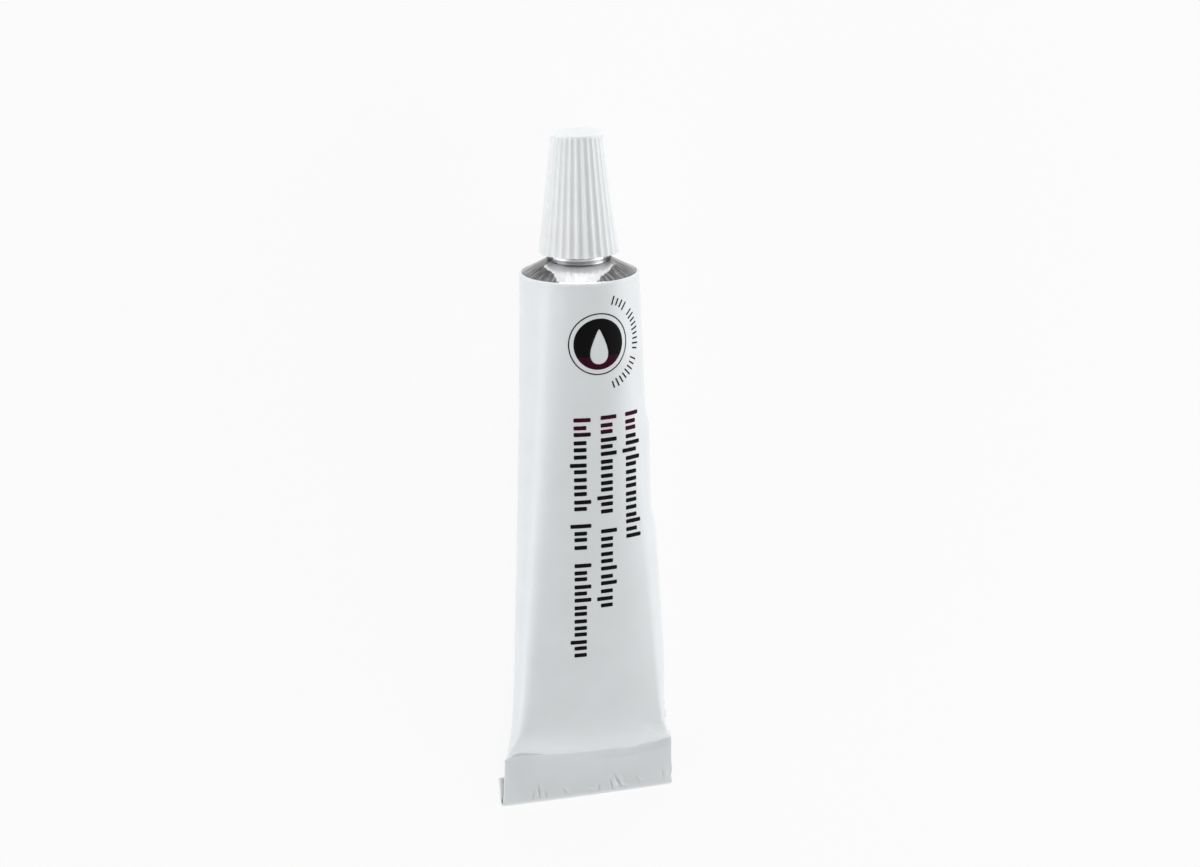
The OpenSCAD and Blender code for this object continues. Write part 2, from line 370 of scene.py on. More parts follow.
def sheet_row(sizes, y, z, back_y, back_z, flare, shift, marks):
    """Row of points round the pressed sheet at a point of the crimp's outline."""
    half = sizes.wall + sizes.seam / 2
    flat, end, side = section_arcs(sizes, half)
    points = []
    for column in range(AROUND + 1):
        q, sign_x, sign_y = column_angle(column, flat)
        x, d = oval_point(q, flat, end, side)
        x = sign_x * x * flare + shift
        d = sign_y * d
        if sign_y < 0:
            d -= marks(x)
        points.append(Vector((x, y + back_y * d, z + back_z * d)))
    return points


def pinch_mark(x, u):
    """Depth of the pliers' marks, as a push towards the back or the front."""
    push = 0.0
    for at_x, at_u, slant, length, depth in PINCH_MARKS:
        along = (u - at_u) * math.cos(slant) + (x - at_x) * math.sin(slant)
        across = (x - at_x) * math.cos(slant) - (u - at_u) * math.sin(slant)
        if abs(across) < 0.001 and abs(along) < 0.003:
            shape = bump(across, 0.00017) - 0.7 * bump(across - 0.0003, 0.0002)
            push -= depth * shape * bump(along, length)
    return push


def crimp_rows(sizes, crease_y):
    """Rows down the front leaf, round the fold, up the flap and round its tucked end."""
    leaf = 2 * sizes.wall + sizes.seam
    stack = 3 * leaf + sizes.tuck_gap + sizes.fold_gap
    fold_r = stack / 2
    leaf_z = stack - leaf / 2
    tuck_r = leaf + sizes.tuck_gap / 2
    fold_u = sizes.crimp_height - fold_r
    tuck_u = sizes.crimp_height - sizes.flap_height + tuck_r
    rows = []

    def wave(x, u):
        edge = ease((x - 0.0080) / 0.0026)
        ripple = 0.00006 * noise.noise((x * 420, u * 420, 3.0)) * ease(u / 0.001)
        dip = valley(x) * (1 - ease((u - 0.0001) / 0.0008))
        return edge * 0.00004 * math.sin(u * 3300) + ripple + pinch_mark(x, u) - dip

    steps = 40
    for i in range(steps + 1):
        u = 0.00012 + (fold_u - 0.00012) * i / steps
        share = u / sizes.crimp_height
        flare = 0.982 + 0.018 * share
        shift = 0.00022 * (1 - ease(share))
        row = sheet_row(sizes, crease_y - u, leaf_z, 0, -1, flare, shift, lambda x: wave(x, u))
        for point in row:
            droop = crease_droop((point.x - shift) / flare) * (1 - ease(u / LEAF_STRAIGHT))
            point.y -= droop
            point.z -= droop * TILT
            if point.x > 0.0098:
                nick = noise.noise((u * 1100, 5.0, 2.0))
                point.x += (0.00004 * math.sin(u * 2900 + 0.6) + 0.00008 * nick) * ease(u / 0.0008)
        rows.append(row)
    around = fold_r - leaf / 2
    for i in range(1, 11):
        angle = math.pi * i / 11
        calm = 1 - ease(i / 4)
        rows.append(sheet_row(
            sizes, crease_y - fold_u - around * math.sin(angle), fold_r + around * math.cos(angle),
            math.sin(angle), -math.cos(angle), 1.0, -0.00010 * ease(i / 10),
            lambda x: calm * wave(x, fold_u)))
    for i in range(11):
        u = fold_u + (tuck_u - fold_u) * i / 10
        splay = 0.00010 + 0.00010 * ease(i / 10)
        rows.append(sheet_row(sizes, crease_y - u, leaf / 2, 0, 1, 1.0, -splay, lambda x: 0.0))
    around = tuck_r - leaf / 2
    for i in range(1, 8):
        angle = math.pi * i / 8
        rows.append(sheet_row(
            sizes, crease_y - tuck_u + around * math.sin(angle), tuck_r - around * math.cos(angle),
            -math.sin(angle), math.cos(angle), 1.0, -0.00020, lambda x: 0.0))
    end_u = fold_u - tuck_r
    for i in range(7):
        u = tuck_u + (end_u - tuck_u) * i / 6
        rows.append(sheet_row(
            sizes, crease_y - u, leaf * 1.5 + sizes.tuck_gap, 0, -1, 1.0, -0.00020,
            lambda x: 0.0))
    return rows


def rolled_rim(sizes, place):
    """Rows over the rolled rim, from inside the wall to the body."""
    outer = sizes.body_radius + sizes.rim_out
    height = sizes.rim_height
    profile = [
        (outer - 0.00026, -0.0003), (outer - 0.00030, 0.0), (outer - 0.00031, 0.00010),
        (outer - 0.00027, 0.00017), (outer - 0.00019, 0.00017), (outer - 0.00011, 0.00012),
        (outer - 0.00004, 0.00003), (outer, -0.00010), (outer, -0.00018),
        (outer, 0.00012 - height), (outer - 0.00001, 0.00004 - height),
        (outer - sizes.rim_out * 0.8, -height - 0.00006),
    ]
    flat = section_arcs(sizes, sizes.body_radius)[0]
    rows = []
    for radius, z in profile:
        row = []
        for column in range(AROUND + 1):
            q, sign_x, sign_y = column_angle(column, flat)
            point = Vector((sign_x * radius * math.cos(q), sign_y * radius * math.sin(q), z))
            row.append(place @ point)
        rows.append(row)
    return rows


def bent_grid(rows):
    """A flat grid, bent so that its rows lie on the given rows of points."""
    mesh = bmesh.new()
    wide = len(rows[0]) - 1
    tall = len(rows) - 1
    bmesh.ops.create_grid(mesh, x_segments=wide, y_segments=tall, size=1.0)
    for vertex in mesh.verts:
        column = round((vertex.co.x + 1) / 2 * wide)
        row = round((vertex.co.y + 1) / 2 * tall)
        vertex.co = rows[row][column]
    return mesh


def closed_up(mesh, reach=1e-7):
    """Merges seams and poles, fills open ends and turns the faces outwards."""
    bmesh.ops.remove_doubles(mesh, verts=mesh.verts, dist=reach)
    bmesh.ops.dissolve_degenerate(mesh, edges=mesh.edges, dist=reach)
    rims = [edge for edge in mesh.edges if edge.is_boundary]
    if rims:
        bmesh.ops.holes_fill(mesh, edges=rims, sides=0)
    bmesh.ops.recalc_face_normals(mesh, faces=mesh.faces)
    return mesh


def add_piece(name, mesh, material, body):
    """Makes a finished piece of a bmesh, which rides on a body."""
    if any(not edge.is_manifold for edge in mesh.edges):
        raise RuntimeError(f"{name} isn't a closed surface")
    data = bpy.data.meshes.new(name)
    for face in mesh.faces:
        face.smooth = True
    mesh.to_mesh(data)
    mesh.free()
    data.materials.append(material)
    piece = bpy.data.objects.new(name, data)
    bpy.context.scene.collection.objects.link(piece)
    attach(piece, body)
    return piece


def turned_rows(profile, columns, place, radius_at):
    """Rows of a turned shape. radius_at gives a row's radius at each angle."""
    rows = []
    for entry in profile:
        row = []
        for column in range(columns + 1):
            angle = 2 * math.pi * (column % columns) / columns
            radius = radius_at(entry, angle)
            point = Vector((radius * math.cos(angle), radius * math.sin(angle), entry[1]))
            row.append(place @ point)
        rows.append(row)
    return rows


def thread_wave(z, angle, pitch):
    """Share of the thread's depth, 1 on a crest and 0 at a root, both a little flat."""
    turn = (z / pitch - angle / (2 * math.pi)) % 1.0
    ramp = abs(turn - 0.5) * 2
    return ease((ramp - 0.2) / 0.6)


class NodeDesk:
    """A material's nodes, with short ways to add and join them."""

    def __init__(self, name):
        self.material = bpy.data.materials.new(name)
        self.material.use_nodes = True
        self.tree = self.material.node_tree
        self.shader = self.tree.nodes["Principled BSDF"]

    def add(self, kind, **settings):
        node = self.tree.nodes.new(kind)
        for key, value in settings.items():
            setattr(node, key, value)
        return node

    def join(self, source, target):
        self.tree.links.new(source, target)

    def math(self, operation, first, second=0.0):
        node = self.add("ShaderNodeMath", operation=operation)
        for socket, value in zip(node.inputs, (first, second)):
            if isinstance(value, (int, float)):
                socket.default_value = value
            else:
                self.join(value, socket)
        return node.outputs[0]

    def vector(self, operation, first, second=(0.0, 0.0, 0.0), output="Vector"):
        node = self.add("ShaderNodeVectorMath", operation=operation)
        self.join(first, node.inputs[0])
        if isinstance(second, tuple):
            node.inputs[1].default_value = second
        else:
            self.join(second, node.inputs[1])
        return node.outputs[output]

    def place(self):
        return self.add("ShaderNodeTexCoord").outputs["Object"]

    def tube_place(self, sizes):
        """Object coordinates turned back into the tube's own frame."""
        place = place_of_tube(sizes)
        mapping = self.add("ShaderNodeMapping", vector_type="TEXTURE")
        mapping.inputs["Location"].default_value = place.translation
        mapping.inputs["Rotation"].default_value = place.to_euler()
        self.join(self.place(), mapping.inputs["Vector"])
        return mapping.outputs[0]

    def cloud(self, vector, scale, detail=2.0, roughness=0.5):
        node = self.add("ShaderNodeTexNoise")
        node.inputs["Scale"].default_value = scale
        node.inputs["Detail"].default_value = detail
        node.inputs["Roughness"].default_value = roughness
        self.join(vector, node.inputs["Vector"])
        return node.outputs["Fac"]

    def spread(self, value, low, high, new_low, new_high):
        node = self.add("ShaderNodeMapRange")
        for socket, number in zip(node.inputs[1:5], (low, high, new_low, new_high)):
            socket.default_value = number
        self.join(value, node.inputs["Value"])
        return node.outputs[0]

    def blend(self, share, first, second):
        node = self.add("ShaderNodeMix", data_type="RGBA")
        self.join(share, node.inputs["Factor"])
        for key, value in (("A", first), ("B", second)):
            socket = [i for i in node.inputs if i.name == key and i.type == "RGBA"][0]
            if isinstance(value, tuple):
                socket.default_value = value
            else:
                self.join(value, socket)
        return [o for o in node.outputs if o.type == "RGBA"][0]

    def bumps(self, height, strength, distance):
        """Gives the surface a fine relief."""
        node = self.add("ShaderNodeBump")
        node.inputs["Strength"].default_value = strength
        node.inputs["Distance"].default_value = distance
        self.join(height, node.inputs["Height"])
        self.join(node.outputs[0], self.shader.inputs["Normal"])

    def mottle(self, where, scale, first, second):
        """Lets the colour wander between two colours."""
        share = self.spread(self.cloud(where, scale, 3), 0.3, 0.7, 0.0, 1.0)
        self.join(self.blend(share, first, second), self.shader.inputs["Base Color"])

    def roughen(self, where, scale, low, high):
        """Lets the roughness wander between two values."""
        wander = self.spread(self.cloud(where, scale), 0.3, 0.7, low, high)
        self.join(wander, self.shader.inputs["Roughness"])

    def settle(self, values):
        """Gives inputs of the shader plain values."""
        for key, value in values.items():
            self.shader.inputs[key].default_value = value

    def milky(self, weight, depth):
        """Lets light into the surface down to a depth."""
        self.settle({
            "Subsurface Weight": weight, "Subsurface Radius": (1.0, 1.0, 1.0),
            "Subsurface Scale": depth})


def opaque(colour, share=1.0):
    return (colour[0] * share, colour[1] * share, colour[2] * share, 1.0)


def enamel_finish(sizes):
    """Semi-gloss white enamel, faintly uneven in tone, gloss and surface."""
    desk = NodeDesk("white_enamel")
    where = desk.place()
    colour = sizes.enamel_colour
    desk.mottle(where, 260, opaque(colour, 0.975), opaque(colour, 1.01))
    desk.roughen(where, 900, 0.40, 0.48)
    desk.bumps(desk.cloud(where, 240, 0), 0.10, 0.00006)
    desk.settle({"Specular IOR Level": 0.35, "Coat Weight": 0.1, "Coat Roughness": 0.3})
    return desk.material


def bare_finish(sizes):
    """Bare aluminium with fine streaks that run out from the neck, painted reflections (dark sides and
    a bright middle) and painted shade round the neck.
    """
    desk = NodeDesk("bare_aluminium")
    where = desk.tube_place(sizes)
    split = desk.add("ShaderNodeSeparateXYZ")
    desk.join(where, split.inputs[0])
    flatten = desk.add("ShaderNodeCombineXYZ")
    desk.join(split.outputs["X"], flatten.inputs["X"])
    desk.join(split.outputs["Y"], flatten.inputs["Y"])
    outward = desk.vector("NORMALIZE", flatten.outputs[0])
    far = desk.vector("LENGTH", flatten.outputs[0], output="Value")
    reach = desk.math("MULTIPLY", far, 1000.0)
    lift = desk.add("ShaderNodeCombineXYZ")
    desk.join(desk.math("MULTIPLY", reach, 0.03), lift.inputs["Z"])
    spokes = desk.vector("ADD", outward, lift.outputs[0])
    wide = desk.spread(desk.cloud(spokes, 7.0, 3, 0.6), 0.38, 0.62, 0.0, 1.0)
    fine_cloud = desk.cloud(spokes, 16.0, 3, 0.7)
    fine = desk.spread(fine_cloud, 0.36, 0.64, 0.0, 1.0)
    beside = desk.math("ABSOLUTE", desk.vector("DOT_PRODUCT", outward, (0.96, -0.28, 0.0), "Value"))
    # Painted dark reflections on the sides widen with the distance from the neck, in mm, and their
    # edges waver
    edge = desk.math("POWER", desk.math("DIVIDE", 4.27, reach), 2.8)
    edge = desk.math("MINIMUM", edge, 0.88)
    edge = desk.math("ADD", edge, desk.math("MULTIPLY", desk.math("SUBTRACT", wide, 0.5), 0.08))
    beyond = desk.math("SUBTRACT", beside, edge)
    near = desk.spread(beyond, -0.02, 0.03, 0.0, 0.95)
    dark = desk.math("ADD", near, desk.spread(beyond, 0.0, 0.3, 0.0, 0.04))
    dark = desk.math("MULTIPLY", dark, desk.spread(reach, 5.0, 6.3, 1.0, 0.90))
    # Painted glints: bright streaks that break up the painted dark reflections on the sides
    painted_glint_streaks = desk.math("MULTIPLY", desk.math("POWER", fine, 2.0), 0.36)
    dark = desk.math("MULTIPLY", dark, desk.math("SUBTRACT", 1.0, painted_glint_streaks))
    faint = desk.math("MULTIPLY", desk.math("SUBTRACT", 1.0, fine), 0.12)
    streaks_and_painted_dark = desk.math("MAXIMUM", dark, faint)
    # Painted shade: the neck and the ring beside it are darkened where they lie in the cap's shade
    middle = desk.spread(beside, 0.35, 0.65, 1.0, 0.15)
    in_shade = desk.math("MULTIPLY", desk.spread(reach, 3.5, 4.4, 0.45, 0.0), middle)
    streaks_and_painted_dark = desk.math("MAXIMUM", streaks_and_painted_dark, in_shade)
    neck = desk.spread(reach, 3.60, 3.75, 1.0, 0.0)
    neck_painted_shade = desk.math("MULTIPLY", desk.math("MULTIPLY", neck, 0.36), middle)
    streaks_and_painted_dark = desk.math("MAXIMUM", streaks_and_painted_dark, neck_painted_shade)
    colour = desk.blend(streaks_and_painted_dark, opaque(sizes.metal_colour), opaque(sizes.metal_colour, 0.02))
    desk.join(colour, desk.shader.inputs["Base Color"])
    rough = desk.spread(fine, 0.0, 1.0, 0.20, 0.11)
    rough = desk.math("MAXIMUM", rough, desk.math("MULTIPLY", neck, 0.45))
    desk.join(rough, desk.shader.inputs["Roughness"])
    desk.bumps(fine_cloud, 0.2, 0.00002)
    desk.settle({"Metallic": 1.0})
    return desk.material


def cap_finish(sizes):
    """Satin moulded plastic, a little uneven in tone."""
    desk = NodeDesk("white_polyethylene")
    where = desk.place()
    desk.mottle(where, 420, opaque(sizes.colour, 0.975), opaque(sizes.colour, 1.01))
    desk.roughen(where, 1500, 0.34, 0.44)
    desk.bumps(desk.cloud(where, 7000), 0.15, 0.00001)
    desk.milky(0.75, 0.0006)
    return desk.material


def ink_finish(sizes):
    """Black print that turns dark red where the second ink shows."""
    desk = NodeDesk("printed_ink")
    where = desk.tube_place(sizes)
    split = desk.add("ShaderNodeSeparateXYZ")
    desk.join(where, split.inputs[0])
    down = desk.math("MULTIPLY", split.outputs["Z"], -1000.0)
    first_block = desk.math("COMPARE", down, 15.8)
    first_block.node.inputs[2].default_value = 1.3
    mark_foot = desk.math("COMPARE", down, 9.3)
    mark_foot.node.inputs[2].default_value = 1.1
    red = desk.math("MAXIMUM", first_block, mark_foot)
    fleck = desk.spread(desk.cloud(where, 2600, 3), 0.3, 0.7, 0.6, 1.0)
    colour = desk.blend(
        desk.math("MULTIPLY", red, fleck), opaque(sizes.ink_colour), opaque(sizes.tint_colour))
    desk.join(colour, desk.shader.inputs["Base Color"])
    desk.roughen(where, 3000, 0.45, 0.6)
    desk.settle({"Specular IOR Level": 0.04})
    return desk.material


def grease_finish():
    """Soft whitish paste."""
    desk = NodeDesk("silicone_grease")
    where = desk.place()
    desk.mottle(where, 600, (0.84, 0.87, 0.87, 1.0), (0.92, 0.94, 0.94, 1.0))
    desk.roughen(where, 1200, 0.12, 0.25)
    desk.bumps(desk.cloud(where, 900, 3), 0.3, 0.0001)
    desk.milky(0.4, 0.002)
    return desk.material


class TUBE_OT_skin(bpy.types.Operator):
    """Bend one sheet into the enamelled wall, pressed flat and folded twice at the crimp"""

    bl_idname = "tube.skin"
    bl_label = "Enamelled body"

    def execute(self, context):
        sizes = context.scene.tube_sizes
        place = place_of_tube(sizes)
        crease_y = tube_low.y + sizes.crimp_height
        inner = stations(sizes.rim_height + 0.0001, sizes.body_length - 0.0003, 26)
        outer = stations(sizes.rim_height + 0.00012, sizes.body_length - 0.00002, 112)
        rows = [body_row(sizes, place, s, sizes.wall) for s in reversed(inner)]
        rows += rolled_rim(sizes, place)
        rows += [body_row(sizes, place, s, 0.0) for s in outer]
        rows += crimp_rows(sizes, crease_y)
        mesh = closed_up(bent_grid(rows))
        skin = add_piece("tube_skin", mesh, enamel_finish(sizes), "filled_tube")
        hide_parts("tube")
        return {"FINISHED"}


class TUBE_OT_shoulder(bpy.types.Operator):
    """Turn the bare shoulder, the threaded neck and the nozzle"""

    bl_idname = "tube.shoulder"
    bl_label = "Shoulder and nozzle"

    def execute(self, context):
        sizes = context.scene.tube_sizes
        place = place_of_tube(sizes)
        outer = sizes.body_radius + sizes.rim_out
        edge = outer - 0.0002
        slope = sizes.shoulder_height / (outer - sizes.neck_radius)
        drop = sizes.shoulder_wall * math.hypot(1, slope)
        root = sizes.neck_radius - sizes.thread_depth
        neck_top = sizes.shoulder_height + sizes.neck_height
        tip = neck_top + sizes.nozzle_length
        neck_in = sizes.neck_radius - sizes.neck_wall
        inner = outer - 0.00035
        profile = [(inner, -sizes.rim_height, 0), (edge, -sizes.rim_height, 0), (edge, 0.0, 0)]
        cone_reach = sizes.neck_radius + 0.0001
        for i in range(13):
            radius = edge + (cone_reach - edge) * i / 12
            profile.append((radius, (outer - radius) * slope, 0))
        foot = (outer - cone_reach) * slope
        for i in range(1, 6):
            turn = math.pi / 2 * i / 5
            radius = cone_reach - (cone_reach - root) * math.sin(turn)
            profile.append((radius, foot + 0.0003 * (1 - math.cos(turn)), 0))
        steps = 46
        low = foot + 0.00035
        high = neck_top - 0.00025
        for i in range(steps + 1):
            z = low + (high - low) * i / steps
            ends = ease((z - low) / 0.0004) * ease((high - z) / 0.0003)
            profile.append((root, z, ends))
        for i in range(1, 5):
            turn = math.pi / 2 * i / 4
            profile.append(
                (root - 0.00018 * (1 - math.cos(turn)), high + 0.00025 * math.sin(turn), 0))
        for out, up in ((0.00015, 0.0), (0.00004, 0.00004), (-0.00002, 0.00018)):
            profile.append((sizes.nozzle_radius + out, neck_top + up, 0))
        for i in range(1, 9):
            share = i / 9
            radius = sizes.nozzle_radius + (sizes.tip_radius - sizes.nozzle_radius) * share
            profile.append((radius, neck_top + sizes.nozzle_length * share, 0))
        for i in range(6):
            turn = math.pi / 2 * i / 5
            profile.append((
                sizes.tip_radius - 0.0002 * (1 - math.cos(turn)),
                tip - 0.0002 * (1 - math.sin(turn)), 0))
        profile += [
            (sizes.hole_radius + 0.00008, tip, 0), (sizes.hole_radius, tip - 0.00008, 0),
            (sizes.hole_radius, tip - 0.0015, 0),
            (sizes.nozzle_radius - sizes.nozzle_wall, neck_top, 0),
            (neck_in, neck_top - sizes.neck_wall, 0), (neck_in, (outer - neck_in) * slope - drop, 0),
            (inner, (outer - inner) * slope - drop, 0), (inner, -sizes.rim_height, 0),
        ]

        def radius_at(entry, angle):
            wave = thread_wave(entry[1], angle, sizes.thread_pitch)
            return entry[0] + sizes.thread_depth * entry[2] * wave

        mesh = closed_up(bent_grid(turned_rows(profile, 160, place, radius_at)))
        shoulder = add_piece("tube_shoulder", mesh, bare_finish(sizes), "filled_tube")
        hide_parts("tube")
        return {"FINISHED"}


class TUBE_OT_cap(bpy.types.Operator):
    """Mould the ribbed cap with its threaded bore, cavity and sealing stud"""

    bl_idname = "tube.cap"
    bl_label = "Screw cap"

    def execute(self, context):
        sizes = context.scene.tube_sizes
        cap = context.scene.cap_sizes
        place = place_of_tube(sizes)
        foot = sizes.shoulder_height + cap.stand
        top = foot + cap.height
        neck_top = sizes.shoulder_height + sizes.neck_height
        tip = neck_top + sizes.nozzle_length
        bore = sizes.neck_radius + cap.neck_play
        bore_top = neck_top + cap.nozzle_play
        cavity_top = tip + cap.nozzle_play
        slope = (cap.foot_radius - cap.top_radius) / cap.height
        pitch = 2 * math.pi * cap.foot_radius / cap.ribs
        width = pitch - cap.crest_width
        groove = (width * width / 4 + cap.flute_depth**2) / (2 * cap.flute_depth)

        def wall_radius(z):
            return cap.foot_radius - slope * (z - foot)

        def flute(z, angle):
            share = (angle / (2 * math.pi) * cap.ribs) % 1.0
            from_middle = abs(share - 0.5) * pitch
            depth = 0.0
            if from_middle < width / 2:
                depth = math.sqrt(groove**2 - from_middle**2) - (groove - cap.flute_depth)
            crest = abs(abs(share - 0.5) - 0.5) * pitch
            rounded = 0.00003 * (1 - bump(crest, cap.crest_width * 0.42))
            fade = ease((top - cap.disc_height - z) / 0.0003)
            return (depth + rounded) * fade * wall_radius(z) / cap.foot_radius

        stud = cap.stud_radius
        stud_end = tip - cap.stud_length
        cavity_tip = sizes.tip_radius + cap.nozzle_play
        inside = [
            (0.0, stud_end), (stud - 0.0001, stud_end), (stud, stud_end + 0.0001),
            (stud, cavity_top - 0.00005), (stud + 0.00005, cavity_top),
            (cavity_tip - 0.00015, cavity_top), (cavity_tip, cavity_top - 0.00015),
            (sizes.nozzle_radius + cap.nozzle_play, bore_top), (bore, bore_top),
        ]
        profile = [(radius, z, "plain") for radius, z in inside]
        steps = 44
        low = foot + 0.0004
        for i in range(steps + 1):
            profile.append((bore, bore_top - 0.0001 + (low - bore_top + 0.0001) * i / steps, "thread"))
        profile += [
            (bore, foot + 0.00025, "plain"), (bore + 0.00015, foot, "plain"),
            (wall_radius(foot) - 0.00005, foot, "rib"),
            (wall_radius(foot) - 0.00001, foot + 0.00002, "rib"),
            (wall_radius(foot + 0.00006), foot + 0.00006, "rib"),
        ]
        ledge = top - cap.disc_height
        for i in range(1, 11):
            z = foot + 0.00006 + (ledge - 0.0004 - foot - 0.00006) * i / 10
            profile.append((wall_radius(z), z, "rib"))
        for i in range(1, 7):
            z = ledge - 0.0004 + 0.0004 * i / 6
            profile.append((wall_radius(z), z, "rib"))
        shoulder_z = top - cap.edge_round
        for i in range(6):
            turn = math.pi / 2 * i / 5
            radius = wall_radius(shoulder_z) - cap.edge_round * (1 - math.cos(turn))
            profile.append((radius, shoulder_z + cap.edge_round * math.sin(turn), "plain"))
        profile += [(cap.top_radius * share, top, "plain") for share in (0.66, 0.33, 0.0)]

        def radius_at(entry, angle):
            radius, z, kind = entry
            if kind == "rib":
                return radius - flute(z, angle)
            if kind == "thread":
                ends = ease((z - low) / 0.0004) * ease((bore_top - 0.0001 - z) / 0.0004)
                wave = thread_wave(z, angle, sizes.thread_pitch)
                return radius + 0.00022 * ends * wave
            return radius

        mesh = closed_up(bent_grid(turned_rows(profile, cap.ribs * 12, place, radius_at)))
        shell = add_piece("cap_shell", mesh, cap_finish(cap), "screw_cap")
        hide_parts("cap")
        return {"FINISHED"}


# Height of the print's face above the enamel and of its foot in the wall
INK_TOP = 0.00002
INK_LOW = -0.00003

# The bars of the three lines
BAR_PITCH = 0.00088
BAR_THICKNESS = 0.00047
BAR_SHORT = 0.00145
BAR_TALL = 0.00195
BAR_DROP = 0.00045

# Radii of the round mark's ring and disc and of the arc of strokes
RING_OUTER = 0.00353
RING_INNER = 0.00340
DISC = 0.00292
ARC = 0.0051


def flat_block(sheet, across, along, wide, tall, turn=0.0):
    """A small block with rounded corners, drawn flat: across the tube and down its length."""
    grid = bmesh.ops.create_grid(
        sheet, x_segments=max(2, round(wide / 0.0003)), y_segments=max(1, round(tall / 0.0006)),
        size=0.5)
    corners = [v for v in grid["verts"] if len(v.link_edges) == 2]
    matrix = Matrix.Translation((across, along, 0)) @ Matrix.Rotation(turn, 4, "Z")
    matrix = matrix @ Matrix.Diagonal((wide, tall, 1, 1))
    bmesh.ops.transform(sheet, matrix=matrix, verts=grid["verts"])
    bmesh.ops.bevel(
        sheet, geom=corners, offset=min(wide, tall) * 0.22, offset_type="OFFSET",
        affect="VERTICES", segments=3, profile=0.5, material=-1)


def flat_band(sheet, across, along, outer, inner_points, cuts):
    """A flat band between a circle and an inner outline of as many points."""
    count = len(inner_points)
    place = Matrix.Translation((across, along, 0))
    first = bmesh.ops.create_circle(sheet, segments=count, radius=outer, matrix=place)["verts"]
    second = bmesh.ops.create_circle(sheet, segments=count, radius=outer / 2, matrix=place)["verts"]
    for vertex, point in zip(second, inner_points):
        vertex.co = (across + point[0], along + point[1], 0)
    ring = set(first) | set(second)
    edges = [e for e in sheet.edges if e.verts[0] in ring and e.verts[1] in ring]
    made = bmesh.ops.bridge_loops(sheet, edges=edges)
    spokes = [
        e for e in made["edges"] if (e.verts[0] in first) != (e.verts[1] in first)
    ]
    if cuts:
        bmesh.ops.subdivide_edges(sheet, edges=spokes, cuts=cuts, use_grid_fill=True)


class TUBE_OT_print(bpy.types.Operator):
    """Lay the plain print on the front: a round mark with a drop, an arc and three lines of bars"""

    bl_idname = "tube.print"
    bl_label = "Print"

    def execute(self, context):
        sizes = context.scene.tube_sizes
        place = place_of_tube(sizes)
        sheet = bmesh.new()
        mark_across, mark_along = 0.00025, 0.00678
        count = 80
        turns = [2 * math.pi * i / count for i in range(count)]
        ring = [(RING_INNER * math.cos(turn), RING_INNER * math.sin(turn)) for turn in turns]
        flat_band(sheet, mark_across, mark_along, RING_OUTER, ring, 0)
        drop = []
        for turn in turns:
            fullness = math.sin((turn + math.pi / 2) / 2) ** 2
            drop.append((
                0.00150 * math.cos(turn) * (0.22 + 0.78 * fullness),
                0.00030 + 0.00200 * math.sin(turn)))
        flat_band(sheet, mark_across, mark_along, DISC, drop, 5)
        for i in range(23):
            if i in (4, 14):
                continue
            turn = math.radians(-70 + i * 6.4)
            long = (0.00105, 0.00085, 0.00095)[i % 3]
            flat_block(
                sheet, mark_across + ARC * math.cos(turn), mark_along + ARC * math.sin(turn),
                long, 0.00017, turn)
        lines = (
            (0.00345, 0.0149, ((0.0, 0.0154),)),
            (0.00030, 0.0149, ((0.0, 0.0120), (0.0135, 0.0236))),
            (-0.00280, 0.0150, ((0.0, 0.0114), (0.0126, 0.0160), (0.0174, 0.0294))),
        )
        for base, start, groups in lines:
            for begin, end in groups:
                strokes = round((end - begin) / BAR_PITCH)
                step = (end - begin) / strokes
                for i in range(strokes):
                    tall = BAR_SHORT
                    if i == 0 or (i * 7 + strokes) % 11 in (2, 5):
                        tall = BAR_TALL
                    low = base - (BAR_DROP if (i * 5 + strokes) % 13 == 4 else 0.0)
                    down = start + begin + step * (i + 0.5) + 0.00006 * math.sin(i * 2.4)
                    wide = tall + base - low
                    flat_block(sheet, low + wide / 2, down, wide, BAR_THICKNESS)
        faces = list(sheet.faces)
        for face in faces:
            if face.normal.z < 0:
                face.normal_flip()
        bmesh.ops.translate(sheet, vec=(0, 0, INK_LOW), verts=sheet.verts)
        grown = bmesh.ops.extrude_face_region(sheet, geom=faces, use_keep_orig=True)
        raised = [v for v in grown["geom"] if isinstance(v, bmesh.types.BMVert)]
        bmesh.ops.translate(sheet, vec=(0, 0, INK_TOP - INK_LOW), verts=raised)
        for vertex in sheet.verts:
            across, along, lift = vertex.co
            vertex.co = place @ label_point(sizes, across, along, lift)
        bmesh.ops.recalc_face_normals(sheet, faces=sheet.faces)
        add_piece("label_print", sheet, ink_finish(sizes), "filled_tube")
        return {"FINISHED"}


class TUBE_OT_grease(bpy.types.Operator):
    """Give the filling inside the tube its paste"""

    bl_idname = "tube.grease"
    bl_label = "Grease"

    def execute(self, context):
        filling = frame["nodes"]["grease"]
        filling.data.materials.clear()
        filling.data.materials.append(grease_finish())
        return {"FINISHED"}


def add_lamp(name, place, aim, wide, tall, power):
    data = bpy.data.lights.new(name, "AREA")
    data.shape = "RECTANGLE"
    data.size = wide
    data.size_y = tall
    data.energy = power
    lamp = bpy.data.objects.new(name, data)
    lamp.location = place
    lamp.rotation_euler = (Vector(aim) - Vector(place)).to_track_quat("-Z", "Y").to_euler()
    bpy.context.scene.collection.objects.link(lamp)


def seen_directly(tree):
    """1 for camera, glossy and transmission rays, else 0."""
    path = tree.nodes.new("ShaderNodeLightPath")
    value = path.outputs["Is Camera Ray"]
    for name in ("Is Glossy Ray", "Is Transmission Ray"):
        either = tree.nodes.new("ShaderNodeMath")
        either.operation = "MAXIMUM"
        tree.links.new(value, either.inputs[0])
        tree.links.new(path.outputs[name], either.inputs[1])
        value = either.outputs[0]
    return value


def mix_to_output(tree, share, first, second, out):
    """Puts a mix of two shaders on an output."""
    mix = tree.nodes.new("ShaderNodeMixShader")
    for source, socket in zip((share, first, second), mix.inputs):
        tree.links.new(source, socket)
    tree.links.new(mix.outputs[0], out.inputs["Surface"])


